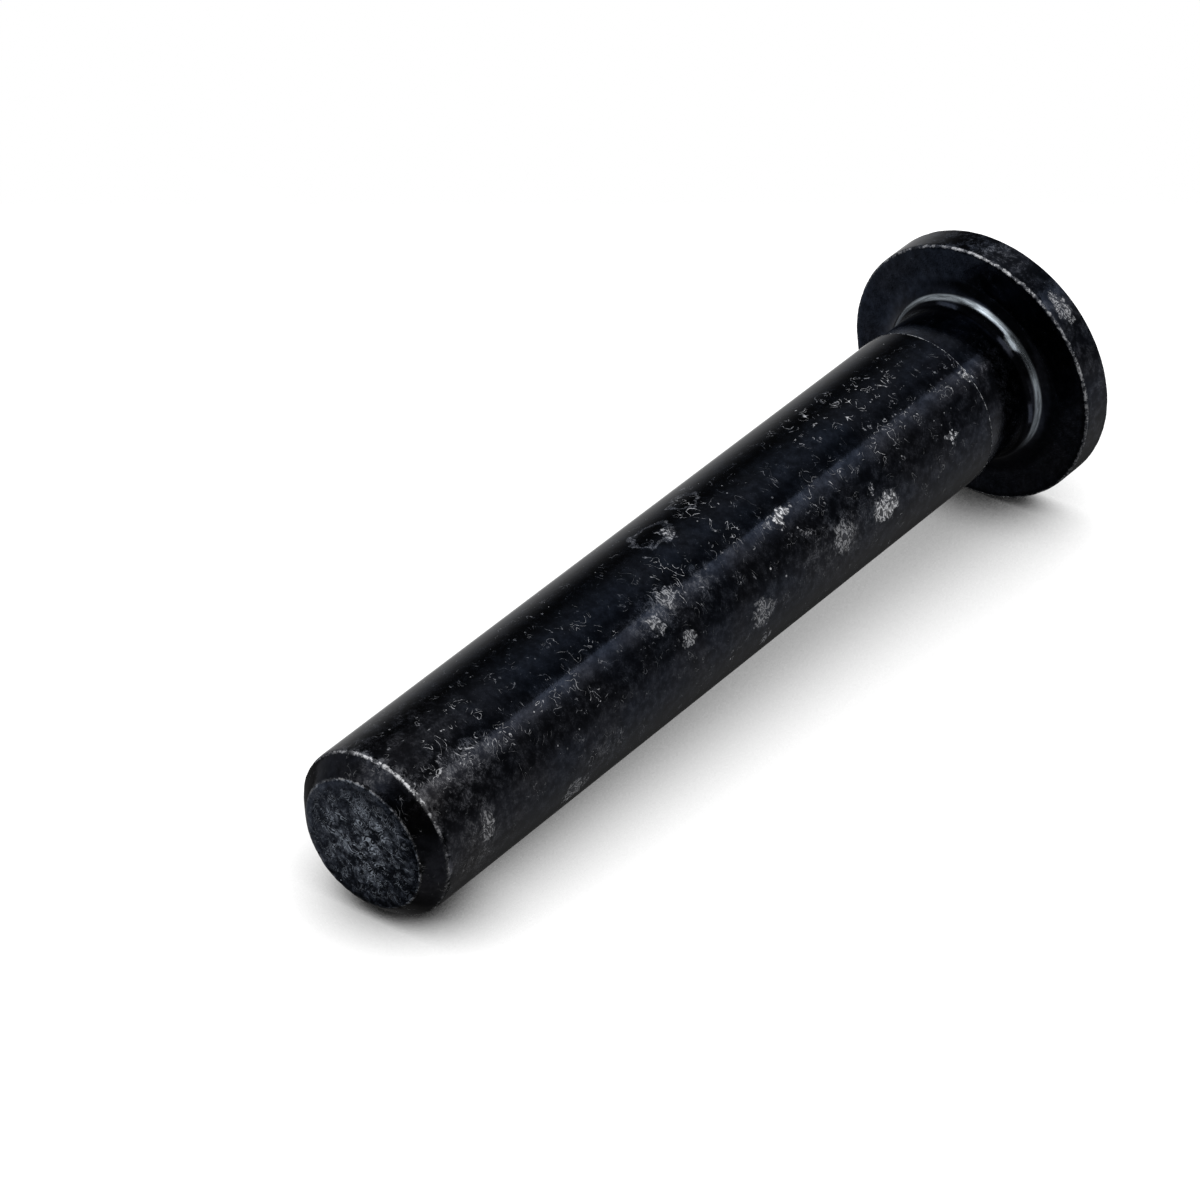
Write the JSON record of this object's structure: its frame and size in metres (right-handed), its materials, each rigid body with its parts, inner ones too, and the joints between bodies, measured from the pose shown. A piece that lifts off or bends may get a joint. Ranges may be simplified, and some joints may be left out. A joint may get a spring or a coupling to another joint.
{
  "type": "clevis pin",
  "caption": "Headed clevis pin turned from steel bar: flat round head, relieved neck with a root fillet, plain shank and bevelled tip, black oxide finish.",
  "frame": {"origin": "centre of the head's outer face, on which the pin stands", "axes": "+Z along the pin's axis from the head to the tip; X and Y are free, because the pin is a solid of revolution"},
  "size_m": [0.0164, 0.0164, 0.0573],
  "materials": {
    "black_oxide_steel": "worn black oxide, lightly oiled"
  },
  "bodies": {
    "root": {"clevis_pin": "black_oxide_steel"}
  },
  "joints": []
}
